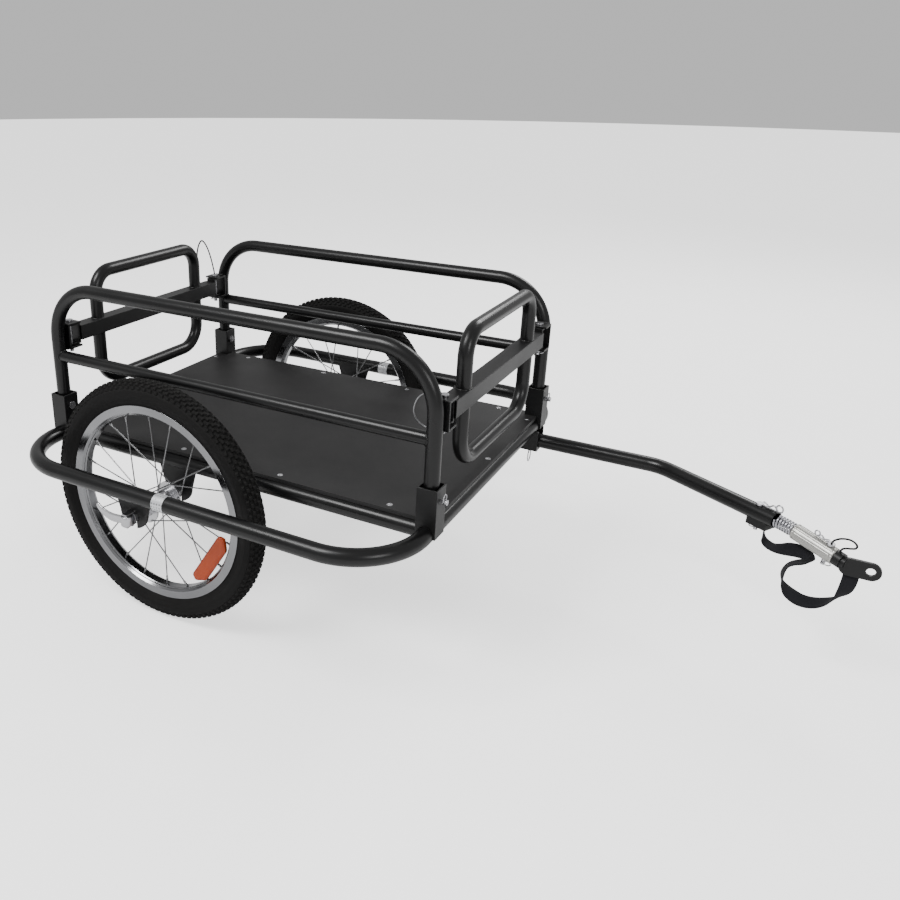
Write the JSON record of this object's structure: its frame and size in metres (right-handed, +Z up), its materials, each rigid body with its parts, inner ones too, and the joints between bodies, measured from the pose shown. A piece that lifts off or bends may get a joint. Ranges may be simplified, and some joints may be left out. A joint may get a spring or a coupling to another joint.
{
  "type": "cargo bicycle trailer",
  "caption": "Open steel-tube cargo trailer for a bicycle with a flat deck, railed side panels, swinging end panels, two quick-release wheels and a sprung drawbar coupler.",
  "frame": {"origin": "on the floor, under the middle of the trailer's plan outline", "axes": "+X forward to the coupler, +Y to the trailer's left, +Z up"},
  "size_m": [1.2458, 0.7344, 0.5119],
  "materials": {
    "frame_paint": "satin powder coat",
    "bar_paint": "satin powder coat",
    "plate_paint": "satin powder coat",
    "deck": "film-faced board, semi-matte",
    "zinc": "zinc plated",
    "tyre": "matte",
    "inner_tube": "matte",
    "rim": "satin anodised",
    "spoke": "bright",
    "hub": "polished",
    "reflector": "moulded prisms",
    "axle": "plated",
    "band": "reflective film",
    "spring": "plated wire",
    "sleeve": "ribbed, satin",
    "anchor": "matte",
    "webbing": "flat woven webbing",
    "cord": "thin braided cord",
    "wire": "dull wire rope"
  },
  "bodies": {
    "frame": {"front_cross_tube": "frame_paint", "rear_cross_tube": "frame_paint", "left_bumper": "frame_paint", "right_bumper": "frame_paint", "left_side_rail": "frame_paint", "right_side_rail": "frame_paint", "mid_cross_tube": "frame_paint", "corner_sockets": "plate_paint", "deck_board": "deck", "deck_screws": "zinc", "lock_pins": "zinc", "left_side_hoop": "frame_paint", "right_side_hoop": "frame_paint", "left_mid_rail": "frame_paint", "right_mid_rail": "frame_paint", "left_post_brackets": "plate_paint", "right_post_brackets": "plate_paint", "panel_pins": "zinc", "inner_axle_plates": "plate_paint", "outer_axle_plates": "plate_paint", "reflective_bands": "band", "left_axle": "axle", "right_axle": "axle", "drawbar_tube": "frame_paint", "drawbar_bracket": "plate_paint", "drawbar_rear_clamp": "plate_paint", "strap_anchor": "anchor", "coupler_spring": "spring", "rear_safety_pin": "zinc", "safety_strap": "webbing", "panel_lanyard": "cord", "gate_lanyard": "wire"},
    "left_wheel": {"left_tyre": "tyre", "left_inner_tube": "inner_tube", "left_rim": "rim", "left_spokes": "spoke", "left_hub": "hub", "left_reflector": "reflector"},
    "right_wheel": {"right_tyre": "tyre", "right_inner_tube": "inner_tube", "right_rim": "rim", "right_spokes": "spoke", "right_hub": "hub", "right_reflector": "reflector"},
    "left_quick_release": {"left_lever": "axle"},
    "right_quick_release": {"right_lever": "axle"},
    "front_panel": {"front_end_bar": "bar_paint", "front_upper_hoop": "frame_paint", "front_lower_hoop": "frame_paint", "front_bar_lugs": "plate_paint"},
    "rear_panel": {"rear_end_bar": "bar_paint", "rear_upper_hoop": "frame_paint", "rear_lower_hoop": "frame_paint", "rear_bar_lugs": "plate_paint"},
    "coupler": {"coupler_sleeve": "sleeve", "hitch_arm": "plate_paint", "front_safety_pin": "zinc", "coupler_lanyard": "cord"},
    "ring_pin": {"drawbar_pin": "zinc"}
  },
  "joints": [
    {"name": "left_wheel_spin", "type": "hinge", "parent": "frame", "child": "left_wheel", "pos_m": [-0.34892, 0.28865, 0.2], "axis": [0, 1, 0], "continuous": true},
    {"name": "right_wheel_spin", "type": "hinge", "parent": "frame", "child": "right_wheel", "pos_m": [-0.34892, -0.28865, 0.2], "axis": [0, 1, 0], "continuous": true},
    {"name": "left_lever_flip", "type": "hinge", "parent": "frame", "child": "left_quick_release", "pos_m": [-0.34892, 0.35825, 0.2], "axis": [0, 0, 1], "range_deg": [-150, 0]},
    {"name": "right_lever_flip", "type": "hinge", "parent": "frame", "child": "right_quick_release", "pos_m": [-0.34892, -0.35825, 0.2], "axis": [0, 0, 1], "range_deg": [0, 150]},
    {"name": "front_panel_swing", "type": "hinge", "parent": "frame", "child": "front_panel", "pos_m": [0.08108, 0.2, 0.41], "axis": [0, 0, 1], "range_deg": [0, 90]},
    {"name": "rear_panel_swing", "type": "hinge", "parent": "frame", "child": "rear_panel", "pos_m": [-0.59892, 0.2, 0.41], "axis": [0, 0, 1], "range_deg": [-90, 0], "deforming": ["panel_lanyard"]},
    {"name": "coupler_yaw", "type": "hinge", "parent": "frame", "child": "coupler", "pos_m": [0.49866, 0.0985, 0.219], "axis": [0, 0, 1], "range_deg": [-45, 45], "stiffness_Nm_per_rad": 1.5, "deforming": ["coupler_spring", "safety_strap"]},
    {"name": "drawbar_pin_pull", "type": "slide", "parent": "frame", "child": "ring_pin", "axis": [0, 0, -1], "range_m": [0, 0.045]}
  ]
}
